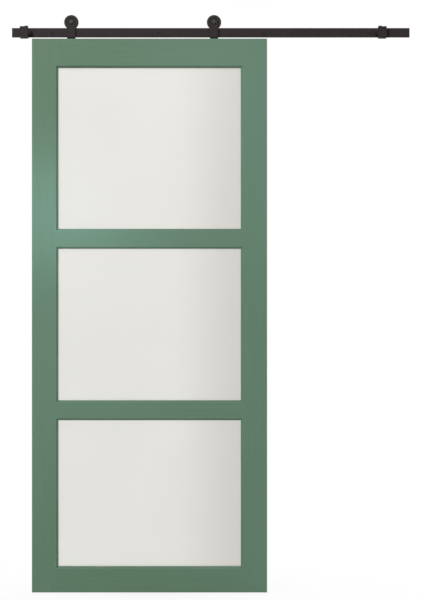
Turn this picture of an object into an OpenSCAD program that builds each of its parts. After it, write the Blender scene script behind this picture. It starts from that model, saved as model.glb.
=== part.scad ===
// Sliding glazed door. A painted leaf with three frosted panes hangs by two
// grooved wheels on a flat wall track that has an end stop near each end.
// X runs along the track, to the right as seen from the room. Y points into the
// wall and Z is up. The origin is on the wall plane, at the middle of the line
// of wall screws. Sizes are in millimetres.

/* [Door leaf] */
// Width of the leaf
leaf_w = 900; // [780:1:1000]
// Height of the leaf
leaf_h = 2120; // [2000:1:2400]
// Thickness of the leaf
leaf_t = 40; // [38:1:48]
// Width of each stile
stile_w = 100; // [80:1:130]
// Height of the top rail
top_rail_h = 111; // [95:1:150]
// Height of each mid rail
mid_rail_h = 76; // [68:1:110]
// Height of the bottom rail
bottom_rail_h = 99; // [85:1:160]
// Height of the glass that shows in the top pane
top_pane_h = 617; // [500:1:700]
// Height of the glass that shows in the middle pane
middle_pane_h = 581; // [480:1:660]
// Width of the bevel round each pane, front and back
bevel_w = 7; // [3:0.5:9]
// Width of the floor guide groove in the bottom edge
guide_groove_w = 10; // [6:0.5:14]
// Depth of the floor guide groove
guide_groove_d = 15; // [8:1:22]

/* [Frame joints] */
// Diameter of the dowels between rails and stiles
dowel_d = 10; // [8:1:12]
// Length of the dowels, half in the rail and half in the stile
dowel_l = 70; // [50:1:90]
// Dowel axis to the nearest rebate or groove
dowel_edge = 12; // [9:0.5:13]
// Dowel axis to the front face of the leaf
dowel_setback = 15; // [12:0.5:16]

/* [Glazing] */
// Thickness of the glass
glass_t = 5; // [4:0.5:6]
// Thickness of the frame lip in front of the glass
lip_t = 13; // [11:0.5:15]
// Width of the rebate that takes the glass and its beads
rebate_w = 12; // [11:0.5:14]
// Gap between the edge of the glass and the rebate
glass_edge_gap = 2; // [1:0.5:2.5]
// Thickness of the glazing tape
tape_t = 1; // [0.5:0.1:1.5]
// Width of the glazing tape
tape_w = 7; // [5:0.5:7.5]
// Edge of the opening to the glazing tape
tape_inset = 1; // [0.5:0.5:1.5]
// Length of the blocks that the glass stands on
setting_block_l = 60; // [30:5:100]
// Diameter of the bead pins
pin_d = 1.4; // [1:0.1:2]
// Length of the bead pins
pin_l = 25; // [18:1:28]
// Corner of the opening to the first bead pin
pin_corner = 90; // [70:5:150]

/* [Track] */
// Length of the track
track_len = 1524; // [1480:1:2000]
// Height of the track bar
track_h = 36; // [32:1:44]
// Thickness of the track bar
track_t = 6; // [5:0.5:8]
// Length of the spacers that hold the track off the wall
spacer_len = 32; // [28:1:45]
// Diameter of the spacers
spacer_d = 20; // [18:1:22]
// Track end to the nearest wall screw
fixing_inset = 152.4; // [140:0.1:180]
// Number of wall screws
fixing_count = 4; // [3:1:6]
// Diameter of the wall screw threads
wall_screw_d = 8; // [7:0.5:8]
// Diameter of the plain shank of the wall screws
wall_shank_d = 7.4; // [6:0.1:7.5]
// Diameter of the wall screw heads
wall_screw_head_d = 16; // [13:0.5:17]
// Length of the wall screws beyond the wall plane
wall_screw_grip = 60; // [40:1:90]

/* [Hangers] */
// Left end of the track to the left edge of the leaf
leaf_inset = 77.5; // [76:0.5:300]
// Left edge of the leaf to the axis of the left hanger
hanger_left_inset = 150; // [120:1:220]
// Right edge of the leaf to the axis of the right hanger
hanger_right_inset = 203; // [120:1:240]
// Width of the hanger strap
strap_w = 32; // [30:1:40]
// Thickness of the hanger strap
strap_t = 4; // [4:0.5:5]
// Inside radius of the bend above the foot
bend_r = 3; // [2:0.5:5]
// Depth of the foot from the front of the strap
foot_l = 30; // [26:1:34]
// Gap between the foot and the underside of the track
lift_gap = 2; // [1.5:0.5:4]
// Diameter of the foot screws
foot_screw_d = 6; // [5:0.5:6]
// Diameter of the foot screw heads
foot_screw_head_d = 12; // [10:0.5:12.5]
// Length of the foot screws
foot_screw_l = 50; // [35:1:60]
// Distance between the two screws of a foot
foot_screw_pitch = 18; // [14:0.5:19]

/* [Wheels] */
// Diameter over the wheel flanges
wheel_d = 55; // [52:0.5:58]
// Diameter of the tread that rolls on the track
tread_d = 44; // [43:0.5:46]
// Width of the wheel
wheel_w = 16; // [15:0.5:20]
// Gap between the track and each side of the groove
groove_gap = 1; // [0.5:0.25:1]
// Slope of the groove sides in degrees
groove_slope = 10; // [0:1:12]
// Bevel on the outer edges of the wheel
wheel_edge = 1.2; // [0.5:0.1:2]
// Diameter of the hub
hub_d = 29; // [27:0.5:32]
// Width of the hub
hub_w = 9; // [8.6:0.1:12]
// Thickness of the web between hub and rim
web_t = 6; // [4:0.5:8]
// Inside diameter of the rim
rim_d = 37; // [34:0.5:38]
// Gap between the wheel and the strap, and between the wheel and the lock nut
wheel_gap = 1.5; // [1:0.25:3]
// Diameter of the axle bolt
axle_d = 8; // [7:0.5:8]
// Width across flats of the axle bolt head and lock nut
axle_hex = 13; // [12:0.5:14]
// Height of the axle bolt head
axle_head_h = 5.3; // [4:0.1:6]
// Height of the lock nut
lock_nut_h = 6.5; // [5:0.5:8]
// Length of the axle bolt beyond the lock nut
axle_tail = 2; // [1:0.5:3]

/* [Bearings] */
// Outside diameter of the bearing
bearing_d = 22; // [21:0.5:23]
// Width of the bearing
bearing_w = 7; // [7:0.1:8]
// Thickness of the bearing rings
bearing_ring_t = 1.9; // [1.6:0.1:2]
// Depth of the ball race in each ring
race_depth = 0.38; // [0.3:0.02:0.5]
// Number of balls
ball_count = 7; // [6:1:8]
// Thickness of the shields
shield_t = 0.4; // [0.3:0.05:0.5]

/* [End stops] */
// Left end of the track to the left stop
stop_left_inset = 31; // [10:0.5:31]
// Right end of the track to the right stop
stop_right_inset = 89; // [10:0.5:100]
// Width of the stop along the track
stop_w = 32; // [30:0.5:32]
// Height of the stop above the track
stop_over = 5; // [4:0.5:8]
// Height of the stop below the track
stop_under = 4; // [3:0.5:4.5]
// Depth of the stop behind the track
stop_behind = 5; // [4:0.5:8]
// Wall of the stop in front of the bumper edge
stop_margin = 1.5; // [0.5:0.5:4]
// Radius of the stop corners
stop_corner_r = 3; // [1:0.5:4]
// Play between the stop and the track
stop_play = 0.3; // [0.2:0.1:0.5]
// Diameter of the bumper
bumper_d = 22; // [18:0.5:24]
// Length of the bumper
bumper_l = 12; // [10:0.5:12]
// Rounding of the bumper nose
bumper_round = 2.5; // [1:0.5:4]
// Diameter of the bumper screw
bumper_screw_d = 5; // [4:0.5:5]
// Length of the bumper screw inside the stop
bumper_screw_grip = 14; // [10:1:16]
// Diameter of the bumper screw head
bumper_head_d = 9; // [8:0.5:9.5]
// Height of the bumper screw head
bumper_head_h = 3; // [2:0.5:4]
// Nose of the bumper to the bumper screw head
bumper_head_inset = 3; // [2:0.5:4]
// Diameter of the clamp bolt
clamp_d = 8; // [6:0.5:8]
// Width across flats of the clamp bolt head
clamp_hex = 13; // [10:0.5:13]
// Height of the clamp bolt head
clamp_head_h = 4; // [3:0.5:6]
// Inner face of the stop to the clamp bolt axis
clamp_inset = 8.5; // [8:0.5:12]

/* [Hidden] */
$fn = 96;
// Overshoot of cutting shapes
cut = 1;
// Gap round seated round parts
fit_gap = 0.02;
// Gap round bolts in clearance holes
bolt_gap = 0.2;
// Gap between the tread and the top of the track
roll_gap = 0.1;
// Gap round the balls in their races
ball_gap = 0.05;
// Gap round the balls in the cage pockets
pocket_gap = 0.15;
// Gap round the cage, and round the inner ring inside the shields
cage_gap = 0.3;
// Thickness of the cage behind its pockets
cage_back_t = 0.5;
// Reach of the cage fingers past the ball centres
cage_front = 0.3;
// Face of the bearing to the shields
shield_inset = 0.2;
// Gap round the shields where they seat in the outer ring
shield_gap = 0.05;
// Lip that keeps the bearing in the hub
hub_lip = 1.2;

PANES = ["top", "middle", "bottom"];
EDGES = ["left", "right", "top", "bottom"];
SIDES = ["left", "right"];

PAINT = "#6d8c79";
STEEL_BLACK = "#37332f";
STEEL_BRIGHT = "#b7b9bb";
FROSTED = "#e4e3dd";
NYLON = "#2b2a2a";
RUBBER = "#1d1d1d";
TAPE = "#d8d8d2";
BEECH = "#c9a877";

// Planes of the track, from the room towards the wall
track_front = -spacer_len - track_t;
track_back = -spacer_len;
mid_y = -spacer_len - track_t / 2;

// Leaf, hung with its middle plane under the track
leaf_x0 = -track_len / 2 + leaf_inset;
leaf_x1 = leaf_x0 + leaf_w;
foot_top = -track_h / 2 - lift_gap;
leaf_top = foot_top - strap_t;
leaf_bottom = leaf_top - leaf_h;
leaf_front = mid_y - leaf_t / 2;
leaf_back = mid_y + leaf_t / 2;

// Openings for the panes
sight_x0 = leaf_x0 + stile_w;
sight_x1 = leaf_x1 - stile_w;
bottom_pane_h = leaf_h - top_rail_h - bottom_rail_h - 2 * mid_rail_h - top_pane_h - middle_pane_h;
pane_h = [top_pane_h, middle_pane_h, bottom_pane_h];
glass_front = leaf_front + lip_t + tape_t;
glass_back = glass_front + glass_t;
bead_front = glass_back + tape_t;
glass_bite = rebate_w - glass_edge_gap;
pin_y = (bead_front + leaf_back - bevel_w) / 2;
dowel_y = leaf_front + dowel_setback;

// Hangers and wheels
hanger_left_x = leaf_x0 + hanger_left_inset;
hanger_right_x = leaf_x1 - hanger_right_inset;
axle_z = track_h / 2 + roll_gap + tread_d / 2;
strap_back = mid_y - wheel_w / 2 - wheel_gap;
strap_front = strap_back - strap_t;
foot_screw_y = (strap_back + bend_r + strap_front + foot_l) / 2;
groove_half = track_t / 2 + groove_gap;
groove_mouth = groove_half + (wheel_d - tread_d) / 2 * tan(groove_slope);
nut_front = mid_y + wheel_w / 2 + wheel_gap;
axle_end = nut_front + lock_nut_h + axle_tail;

// Bearing rings and balls, as radii
bearing_bore_r = axle_d / 2 + fit_gap;
inner_race_r = bearing_bore_r + bearing_ring_t;
outer_race_r = bearing_d / 2 - bearing_ring_t;
ball_pitch_r = (inner_race_r + outer_race_r) / 2;
ball_r = (outer_race_r - inner_race_r) / 2 + race_depth - ball_gap;
bush_r = inner_race_r - shield_gap;

// End stops
stop_left_x = -track_len / 2 + stop_left_inset + stop_w;
stop_right_x = track_len / 2 - stop_right_inset - stop_w;
stop_top = track_h / 2 + stop_over;
bumper_y = track_front - stop_play - bumper_d / 2;
stop_front = bumper_y - bumper_d / 2 - stop_margin;

// Wall screws
fixing_step = (track_len - 2 * fixing_inset) / (fixing_count - 1);
fixing_xs = [for (i = [0 : fixing_count - 1]) -track_len / 2 + fixing_inset + i * fixing_step];

// Upper and lower edge of the opening of pane i, counted from the top
function pane_z1(i) = i == 0 ? leaf_top - top_rail_h : pane_z0(i - 1) - mid_rail_h;
function pane_z0(i) = pane_z1(i) - pane_h[i];

// Upper and lower edge of rail k, counted from the top
function rail_z1(k) = k == 0 ? leaf_top : pane_z0(k - 1);
function rail_z0(k) = k == len(PANES) ? leaf_bottom : pane_z1(k);

// Heights of the two dowels at each end of rail k
function dowel_low(k) = rail_z0(k) + (k == len(PANES) ? guide_groove_d : rebate_w) + dowel_edge;
function dowel_high(k) = rail_z1(k) - rebate_w - dowel_edge;
function dowel_zs(k) = [dowel_low(k), dowel_high(k)];

// Places of the three pins along a bead
function pin_stations(a, b) = [a + pin_corner, (a + b) / 2, b - pin_corner];

// Box between two opposite corners
module block(low, high) {
    translate(low)
        cube(high - low);
}

// Round bars along each axis between two stations
module bar_x(x0, x1, d) {
    translate([x0, 0, 0])
        rotate([0, 90, 0])
            cylinder(h = x1 - x0, d = d);
}

module bar_y(y0, y1, d) {
    translate([0, y0, 0])
        rotate([-90, 0, 0])
            cylinder(h = y1 - y0, d = d);
}

module bar_z(z0, z1, d) {
    translate([0, 0, z0])
        cylinder(h = z1 - z0, d = d);
}

// Hexagon bar along Y, given its width across flats
module hex_y(y0, y1, flats) {
    translate([0, y0, 0])
        rotate([-90, 0, 0])
            cylinder(h = y1 - y0, d = flats / cos(30), $fn = 6);
}

// Flat sketches pushed out along X (sketch is y, z) or Y (sketch is x, z)
module along_x(x0, x1) {
    translate([x0, 0, 0])
        rotate([90, 0, 90])
            linear_extrude(x1 - x0)
                children();
}

module along_y(y0, y1) {
    translate([0, y1, 0])
        rotate([90, 0, 0])
            linear_extrude(y1 - y0)
                children();
}

// Half outlines (radius, distance) turned about an axis along Y
module turned_y(y) {
    translate([0, y, 0])
        rotate([-90, 0, 0])
            rotate_extrude()
                children();
}

// Half outline of a countersunk screw, head face at zero
module screw_outline(d, head_d, l) {
    polygon([[0, 0], [head_d / 2, 0], [d / 2, (head_d - d) / 2], [d / 2, l - d], [0, l]]);
}

// Half outline of the hole that such a screw sits in
module screw_seat_outline(d, head_d, l) {
    r = d / 2 + bolt_gap;
    head_r = head_d / 2 + bolt_gap;
    polygon([[0, -cut], [head_r + cut, -cut], [r, head_r - r], [r, l], [0, l]]);
}

module at_hanger(side) {
    translate([side == "left" ? hanger_left_x : hanger_right_x, 0, 0])
        children();
}

module at_axle(side) {
    at_hanger(side)
        translate([0, 0, axle_z])
            children();
}

// A stop is drawn with its inner face at zero and its bumper towards +X
module at_stop(side) {
    if (side == "left")
        translate([stop_left_x, 0, 0])
            children();
    else
        translate([stop_right_x, 0, 0])
            mirror([1, 0, 0])
                children();
}

// Box over the opening of pane i, grown all round
module pane_block(i, grow, y0, y1) {
    block([sight_x0 - grow, y0, pane_z0(i) - grow], [sight_x1 + grow, y1, pane_z1(i) + grow]);
}

// Bevelled mouth of the opening of pane i at a face of the leaf
module pane_bevel(i, face, inward) {
    out = bevel_w + cut;
    mouth = face - inward * cut;
    throat = face + inward * out;
    intersection() {
        translate([0, 0, pane_z0(i) - out])
            linear_extrude(pane_h[i] + 2 * out)
                polygon([
                    [sight_x0 - out, mouth], [sight_x1 + out, mouth],
                    [sight_x1 - cut, throat], [sight_x0 + cut, throat]
                ]);
        along_x(sight_x0 - out, sight_x1 + out)
            polygon([
                [mouth, pane_z0(i) - out], [mouth, pane_z1(i) + out],
                [throat, pane_z1(i) - cut], [throat, pane_z0(i) + cut]
            ]);
    }
}

module pane_opening(i) {
    pane_block(i, 0, leaf_front - cut, leaf_back + cut);
    pane_block(i, rebate_w, leaf_front + lip_t, leaf_back + cut);
    pane_bevel(i, leaf_front, 1);
}

// Pins of the four beads of pane i, each starting inside the opening by extra
module pane_pins(i, d, extra) {
    for (z = pin_stations(pane_z0(i), pane_z1(i)))
        translate([0, pin_y, z]) {
            bar_x(sight_x0 - pin_l, sight_x0 + extra, d);
            bar_x(sight_x1 - extra, sight_x1 + pin_l, d);
        }
    for (x = pin_stations(sight_x0, sight_x1))
        translate([x, pin_y, 0]) {
            bar_z(pane_z0(i) - pin_l, pane_z0(i) + extra, d);
            bar_z(pane_z1(i) - extra, pane_z1(i) + pin_l, d);
        }
}

// Dowels of all rails, at both ends
module dowel_set(d) {
    for (k = [0 : len(PANES)], z = dowel_zs(k), x = [sight_x0, sight_x1])
        translate([0, dowel_y, z])
            bar_x(x - dowel_l / 2, x + dowel_l / 2, d);
}

// Axes of the foot screws of one hanger
module at_foot_screws(side) {
    at_hanger(side)
        for (s = [-1, 1])
            translate([s * foot_screw_pitch / 2, foot_screw_y, foot_top])
                rotate([180, 0, 0])
                    children();
}

// Everything that is cut out of the leaf frame
module leaf_cuts() {
    for (i = [0 : len(PANES) - 1]) {
        pane_opening(i);
        pane_pins(i, pin_d + 2 * fit_gap, 0);
    }
    dowel_set(dowel_d + 2 * fit_gap);
    for (side = SIDES)
        at_foot_screws(side)
            bar_z(0, foot_screw_l, foot_screw_d + 2 * fit_gap);
    block(
        [leaf_x0 - cut, mid_y - guide_groove_w / 2, leaf_bottom - cut],
        [leaf_x1 + cut, mid_y + guide_groove_w / 2, leaf_bottom + guide_groove_d]
    );
}

// Stiles run the full height, and the rails stand between them
module stile(side) {
    x0 = side == "left" ? leaf_x0 : sight_x1;
    color(PAINT)
        difference() {
            block([x0, leaf_front, leaf_bottom], [x0 + stile_w, leaf_back, leaf_top]);
            leaf_cuts();
        }
}

module leaf_rail(k) {
    color(PAINT)
        difference() {
            block([sight_x0, leaf_front, rail_z0(k)], [sight_x1, leaf_back, rail_z1(k)]);
            leaf_cuts();
        }
}

module frame_dowels() {
    color(BEECH)
        dowel_set(dowel_d);
}

module glass(i) {
    color(FROSTED)
        pane_block(i, glass_bite, glass_front, glass_back);
}

// One ring of tape in front of the glass and one behind it
module glazing_tape(i) {
    color(TAPE)
        for (y = [glass_front - tape_t, glass_back])
            difference() {
                pane_block(i, tape_inset + tape_w, y, y + tape_t);
                pane_block(i, tape_inset, y - cut, y + tape_t + cut);
            }
}

// Two blocks at the quarter points under each pane
module setting_blocks() {
    quarter = (sight_x1 - sight_x0) / 4;
    color(NYLON)
        for (i = [0 : len(PANES) - 1], x = [sight_x0 + quarter, sight_x1 - quarter])
            block(
                [x - setting_block_l / 2, glass_front, pane_z0(i) - rebate_w],
                [x + setting_block_l / 2, glass_back, pane_z0(i) - glass_bite]
            );
}

// Outline of one mitred bead, seen from the front
module bead_outline(i, edge) {
    x0 = sight_x0 - rebate_w;
    x1 = sight_x1 + rebate_w;
    z0 = pane_z0(i) - rebate_w;
    z1 = pane_z1(i) + rebate_w;
    in00 = [sight_x0, pane_z0(i)];
    in01 = [sight_x0, pane_z1(i)];
    in10 = [sight_x1, pane_z0(i)];
    in11 = [sight_x1, pane_z1(i)];
    if (edge == "left")
        polygon([[x0, z0], in00, in01, [x0, z1]]);
    if (edge == "right")
        polygon([[x1, z0], [x1, z1], in11, in10]);
    if (edge == "top")
        polygon([[x0, z1], in01, in11, [x1, z1]]);
    if (edge == "bottom")
        polygon([[x0, z0], [x1, z0], in10, in00]);
}

module bead(i, edge) {
    color(PAINT)
        difference() {
            along_y(bead_front, leaf_back)
                bead_outline(i, edge);
            pane_bevel(i, leaf_back, -1);
            pane_pins(i, pin_d + 2 * fit_gap, cut);
        }
}

module bead_pins() {
    color(STEEL_BRIGHT)
        for (i = [0 : len(PANES) - 1])
            pane_pins(i, pin_d, 0);
}

// Flat bar with a countersunk hole for each wall screw
module track() {
    color(STEEL_BLACK)
        difference() {
            block([-track_len / 2, track_front, -track_h / 2], [track_len / 2, track_back, track_h / 2]);
            for (x = fixing_xs)
                translate([x, 0, 0])
                    turned_y(track_front)
                        screw_seat_outline(wall_screw_d, wall_screw_head_d, track_t + cut);
        }
}

module track_spacers() {
    color(STEEL_BLACK)
        for (x = fixing_xs)
            translate([x, 0, 0])
                difference() {
                    bar_y(track_back, 0, spacer_d);
                    bar_y(track_back - cut, cut, wall_screw_d + 2 * bolt_gap);
                }
}

// Plain shank through track and spacer, and a pointed thread beyond the wall plane
module wall_screws() {
    r = wall_screw_d / 2;
    color(STEEL_BLACK)
        for (x = fixing_xs)
            translate([x, 0, 0]) {
                turned_y(track_front)
                    screw_outline(wall_shank_d, wall_screw_head_d, wall_screw_grip / 2 - track_front);
                turned_y(0)
                    polygon([[0, 0], [r, 0], [r, wall_screw_grip - 2 * r], [0, wall_screw_grip]]);
            }
}

// Closed collar round the track with a thick front that carries the bumper.
// It is drawn up against the underside of the track by the clamp bolt.
module stop_collar(side) {
    r = stop_corner_r;
    y0 = stop_front;
    y1 = track_back + stop_play + stop_behind;
    z0 = -track_h / 2 - stop_under;
    color(STEEL_BLACK)
        at_stop(side)
            difference() {
                union() {
                    block([r - stop_w, y0, z0], [-r, y1, stop_top]);
                    block([-stop_w, y0, z0 + r], [0, y1, stop_top - r]);
                    for (x = [r - stop_w, -r], z = [z0 + r, stop_top - r])
                        translate([x, 0, z])
                            bar_y(y0, y1, 2 * r);
                }
                block(
                    [-stop_w - cut, track_front - stop_play, -track_h / 2],
                    [cut, track_back + stop_play, track_h / 2 + stop_play]
                );
                translate([-clamp_inset, mid_y, 0])
                    bar_z(0, stop_top + cut, clamp_d + 2 * fit_gap);
                translate([0, bumper_y, 0])
                    bar_x(-bumper_screw_grip, cut, bumper_screw_d + 2 * fit_gap);
            }
}

// Hexagon bolts through the stops, pressing on the top edge of the track
module stop_clamp_bolts() {
    color(STEEL_BLACK)
        for (side = SIDES)
            at_stop(side)
                translate([-clamp_inset, mid_y, 0]) {
                    bar_z(track_h / 2, stop_top, clamp_d);
                    translate([0, 0, stop_top])
                        cylinder(h = clamp_head_h, d = clamp_hex / cos(30), $fn = 6);
                }
}

// Rubber buffer with a rounded nose and a recessed screw
module stop_bumper(side) {
    r = bumper_d / 2;
    color(RUBBER)
        at_stop(side)
            translate([0, bumper_y, 0])
                difference() {
                    union() {
                        bar_x(0, bumper_l - bumper_round, bumper_d);
                        bar_x(0, bumper_l, bumper_d - 2 * bumper_round);
                        translate([bumper_l - bumper_round, 0, 0])
                            rotate([0, 90, 0])
                                rotate_extrude()
                                    translate([r - bumper_round, 0])
                                        circle(r = bumper_round);
                    }
                    bar_x(-cut, bumper_l + cut, bumper_screw_d + 2 * fit_gap);
                    bar_x(
                        bumper_l - bumper_head_inset - bumper_head_h, bumper_l + cut,
                        bumper_head_d + 2 * bolt_gap
                    );
                }
}

module bumper_screws() {
    head_x = bumper_l - bumper_head_inset;
    color(STEEL_BRIGHT)
        for (side = SIDES)
            at_stop(side)
                translate([0, bumper_y, 0]) {
                    bar_x(-bumper_screw_grip, head_x, bumper_screw_d);
                    bar_x(head_x - bumper_head_h, head_x, bumper_head_d);
                }
}

// Quarter of a tube that joins the strap to its foot
module strap_bend() {
    y = strap_back + bend_r;
    z = foot_top + bend_r;
    intersection() {
        translate([0, y, z])
            difference() {
                bar_x(-strap_w / 2, strap_w / 2, 2 * (bend_r + strap_t));
                bar_x(-strap_w / 2 - cut, strap_w / 2 + cut, 2 * bend_r);
            }
        block([-strap_w / 2, strap_front, leaf_top], [strap_w / 2, y, z]);
    }
}

// Flat bar with a round head at the axle, bent under the track onto the leaf
module hanger_strap(side) {
    color(STEEL_BLACK)
        difference() {
            at_hanger(side) {
                block([-strap_w / 2, strap_front, foot_top + bend_r], [strap_w / 2, strap_back, axle_z]);
                translate([0, 0, axle_z])
                    bar_y(strap_front, strap_back, strap_w);
                strap_bend();
                block(
                    [-strap_w / 2, strap_back + bend_r, leaf_top],
                    [strap_w / 2, strap_front + foot_l, foot_top]
                );
            }
            at_axle(side)
                bar_y(strap_front - cut, strap_back + cut, axle_d + 2 * bolt_gap);
            at_foot_screws(side)
                rotate_extrude()
                    screw_seat_outline(foot_screw_d, foot_screw_head_d, strap_t + cut);
        }
}

module hanger_screws() {
    color(STEEL_BRIGHT)
        for (side = SIDES)
            at_foot_screws(side)
                rotate_extrude()
                    screw_outline(foot_screw_d, foot_screw_head_d, foot_screw_l);
}

module axle_bolt(side) {
    color(STEEL_BLACK)
        at_axle(side) {
            hex_y(strap_front - axle_head_h, strap_front, axle_hex);
            bar_y(strap_front, axle_end, axle_d);
        }
}

module lock_nuts() {
    color(STEEL_BLACK)
        for (side = SIDES)
            at_axle(side)
                difference() {
                    hex_y(nut_front, nut_front + lock_nut_h, axle_hex);
                    bar_y(nut_front - cut, axle_end, axle_d + 2 * fit_gap);
                }
}

// Bushes that hold the inner ring between the strap and the lock nut
module axle_bushes() {
    color(STEEL_BRIGHT)
        for (side = SIDES)
            at_axle(side)
                difference() {
                    union() {
                        bar_y(strap_back, mid_y - bearing_w / 2, 2 * bush_r);
                        bar_y(mid_y + bearing_w / 2, nut_front, 2 * bush_r);
                    }
                    bar_y(strap_back - cut, nut_front + cut, axle_d + 2 * fit_gap);
                }
}

// Half outline of the wheel, with the room side at negative distances
module wheel_outline() {
    r = wheel_d / 2;
    w = wheel_w / 2;
    seat_r = bearing_d / 2 + fit_gap;
    lip_r = bearing_d / 2 - hub_lip;
    polygon([
        [lip_r, hub_w / 2], [lip_r, bearing_w / 2],
        [seat_r, bearing_w / 2], [seat_r, -hub_w / 2],
        [hub_d / 2, -hub_w / 2], [hub_d / 2, -web_t / 2],
        [rim_d / 2, -web_t / 2], [rim_d / 2, -w],
        [r - wheel_edge, -w], [r, wheel_edge - w],
        [r, -groove_mouth], [tread_d / 2, -groove_half],
        [tread_d / 2, groove_half], [r, groove_mouth],
        [r, w - wheel_edge], [r - wheel_edge, w],
        [rim_d / 2, w], [rim_d / 2, web_t / 2],
        [hub_d / 2, web_t / 2], [hub_d / 2, hub_w / 2]
    ]);
}

module wheel(side) {
    color(NYLON)
        at_axle(side)
            turned_y(mid_y)
                wheel_outline();
}

// Bearing ring between two radii, with its ball race
module bearing_ring(side, r0, r1) {
    color(STEEL_BRIGHT)
        at_axle(side)
            turned_y(mid_y)
                difference() {
                    translate([r0, -bearing_w / 2])
                        square([r1 - r0, bearing_w]);
                    translate([ball_pitch_r, 0])
                        circle(r = ball_r + ball_gap);
                }
}

module bearing_shields(side) {
    r0 = inner_race_r + cage_gap;
    r1 = outer_race_r - shield_gap;
    near = bearing_w / 2 - shield_inset;
    color(STEEL_BRIGHT)
        at_axle(side)
            for (y = [mid_y - near, mid_y + near - shield_t])
                difference() {
                    bar_y(y, y + shield_t, 2 * r1);
                    bar_y(y - cut, y + shield_t + cut, 2 * r0);
                }
}

// Ball places round the bearing, each with the radial direction along X
module at_balls(side) {
    at_axle(side)
        for (i = [0 : ball_count - 1])
            translate([0, mid_y, 0])
                rotate([0, i * 360 / ball_count, 0])
                    children();
}

module bearing_balls(side) {
    color(STEEL_BRIGHT)
        at_balls(side)
            translate([ball_pitch_r, 0, 0])
                sphere(r = ball_r);
}

// Crown cage: a ring on the room side of the balls with a round pocket for each
module bearing_cage(side) {
    pocket_r = ball_r + pocket_gap;
    y0 = mid_y - pocket_r - cage_back_t;
    y1 = mid_y + cage_front;
    color(NYLON)
        difference() {
            at_axle(side)
                bar_y(y0, y1, 2 * (outer_race_r - cage_gap));
            at_axle(side)
                bar_y(y0 - cut, y1 + cut, 2 * (inner_race_r + cage_gap));
            at_balls(side)
                bar_x(inner_race_r, outer_race_r, 2 * pocket_r);
        }
}

TRACK_NODES = [
    "track", "track_spacers", "wall_screws", "stop_collar_left", "stop_collar_right",
    "stop_clamp_bolts", "stop_bumper_left", "stop_bumper_right", "bumper_screws"
];
FRAME_NODES = [
    "stile_left", "stile_right", "top_rail", "mid_rail_upper", "mid_rail_lower", "bottom_rail",
    "frame_dowels", "setting_blocks", "bead_pins"
];
GLAZING_NODES = concat(
    [for (pane = PANES) str("glass_", pane)],
    [for (pane = PANES) str("glazing_tape_", pane)],
    [for (pane = PANES, edge = EDGES) str("bead_", pane, "_", edge)]
);
HANGER_NODES = concat(
    [
        for (
            piece = [
                "hanger_strap", "axle_bolt", "wheel", "bearing_outer_ring", "bearing_inner_ring",
                "bearing_shields", "bearing_balls", "bearing_cage"
            ],
            side = SIDES
        ) str(piece, "_", side)
    ],
    ["hanger_screws", "lock_nuts", "axle_bushes"]
);

track();
track_spacers();
wall_screws();
stop_collar("left");  // stop_collar_left
stop_collar("right");  // stop_collar_right
stop_clamp_bolts();
stop_bumper("left");  // stop_bumper_left
stop_bumper("right");  // stop_bumper_right
bumper_screws();
stile("left");  // stile_left
stile("right");  // stile_right
leaf_rail(0);  // top_rail
leaf_rail(1);  // mid_rail_upper
leaf_rail(2);  // mid_rail_lower
leaf_rail(3);  // bottom_rail
frame_dowels();
setting_blocks();
bead_pins();
for (i = [0 : len(PANES) - 1]) {
    glass(i);
    glazing_tape(i);
    for (edge = EDGES)
        bead(i, edge);
}
for (side = SIDES) {
    hanger_strap(side);
    axle_bolt(side);
    wheel(side);
    bearing_ring(side, outer_race_r, bearing_d / 2);
    bearing_ring(side, bearing_bore_r, inner_race_r);
    bearing_shields(side);
    bearing_balls(side);
    bearing_cage(side);
}
hanger_screws();
lock_nuts();
axle_bushes();
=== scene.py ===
"""Dresses a sliding glazed door, hung on its track, for a plain studio picture.

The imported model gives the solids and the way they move. This script gives them their
finishes, swaps the plain fasteners for detailed ones, and sets up light and camera.
X runs along the track, Y points to the back and Z is up, all in metres. Sizes named
with _mm are in millimetres, as on a workshop drawing.
"""

import logging
import math
from collections.abc import Callable, Iterable
from dataclasses import dataclass, field
from enum import Enum

import bmesh
import bpy
from mathutils import Matrix, Vector


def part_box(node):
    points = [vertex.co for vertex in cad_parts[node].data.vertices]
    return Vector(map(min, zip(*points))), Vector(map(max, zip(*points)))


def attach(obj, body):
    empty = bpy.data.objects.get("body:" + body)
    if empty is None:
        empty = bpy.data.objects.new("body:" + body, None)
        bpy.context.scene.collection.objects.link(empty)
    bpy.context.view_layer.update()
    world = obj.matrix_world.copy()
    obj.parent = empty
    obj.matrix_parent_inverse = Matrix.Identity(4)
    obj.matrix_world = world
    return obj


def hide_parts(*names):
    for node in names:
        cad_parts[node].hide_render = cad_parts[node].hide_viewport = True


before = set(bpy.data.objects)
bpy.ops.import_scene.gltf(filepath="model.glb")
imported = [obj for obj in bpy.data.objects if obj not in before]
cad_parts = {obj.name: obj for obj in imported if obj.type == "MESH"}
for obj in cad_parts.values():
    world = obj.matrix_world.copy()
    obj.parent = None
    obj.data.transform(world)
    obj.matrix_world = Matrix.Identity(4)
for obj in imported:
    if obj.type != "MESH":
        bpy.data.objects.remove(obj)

LOG = logging.getLogger("sliding_door")
MM = 0.001
WHITE = "#ffffff"

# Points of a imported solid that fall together, and points that easing brings together
JOIN_MM = 0.002
CLOSE_MM = 0.01

# Shortest edge that is eased, in x, y and z: any edge at all, or the long ones of a member
ANY_EDGE_MM = (0.1, 0.1, 0.1)
LONG_EDGE_MM = (120.0, 120.0, 120.0)

# Layers of finer detail in a noise: a slow drift, a cloud or a bundle of fibres
DRIFT = 1.0
CLOUD = 2.0
FIBRE = 3.0

# Sockets of the colour part of a Mix node, which are reached by number
MIX_FACTOR = 0
MIX_A = 6
MIX_B = 7
MIX_RESULT = 2

# Share of the band texture's own scale that gives one wave per metre
WAVE_UNIT = math.pi / 10.0

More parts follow.
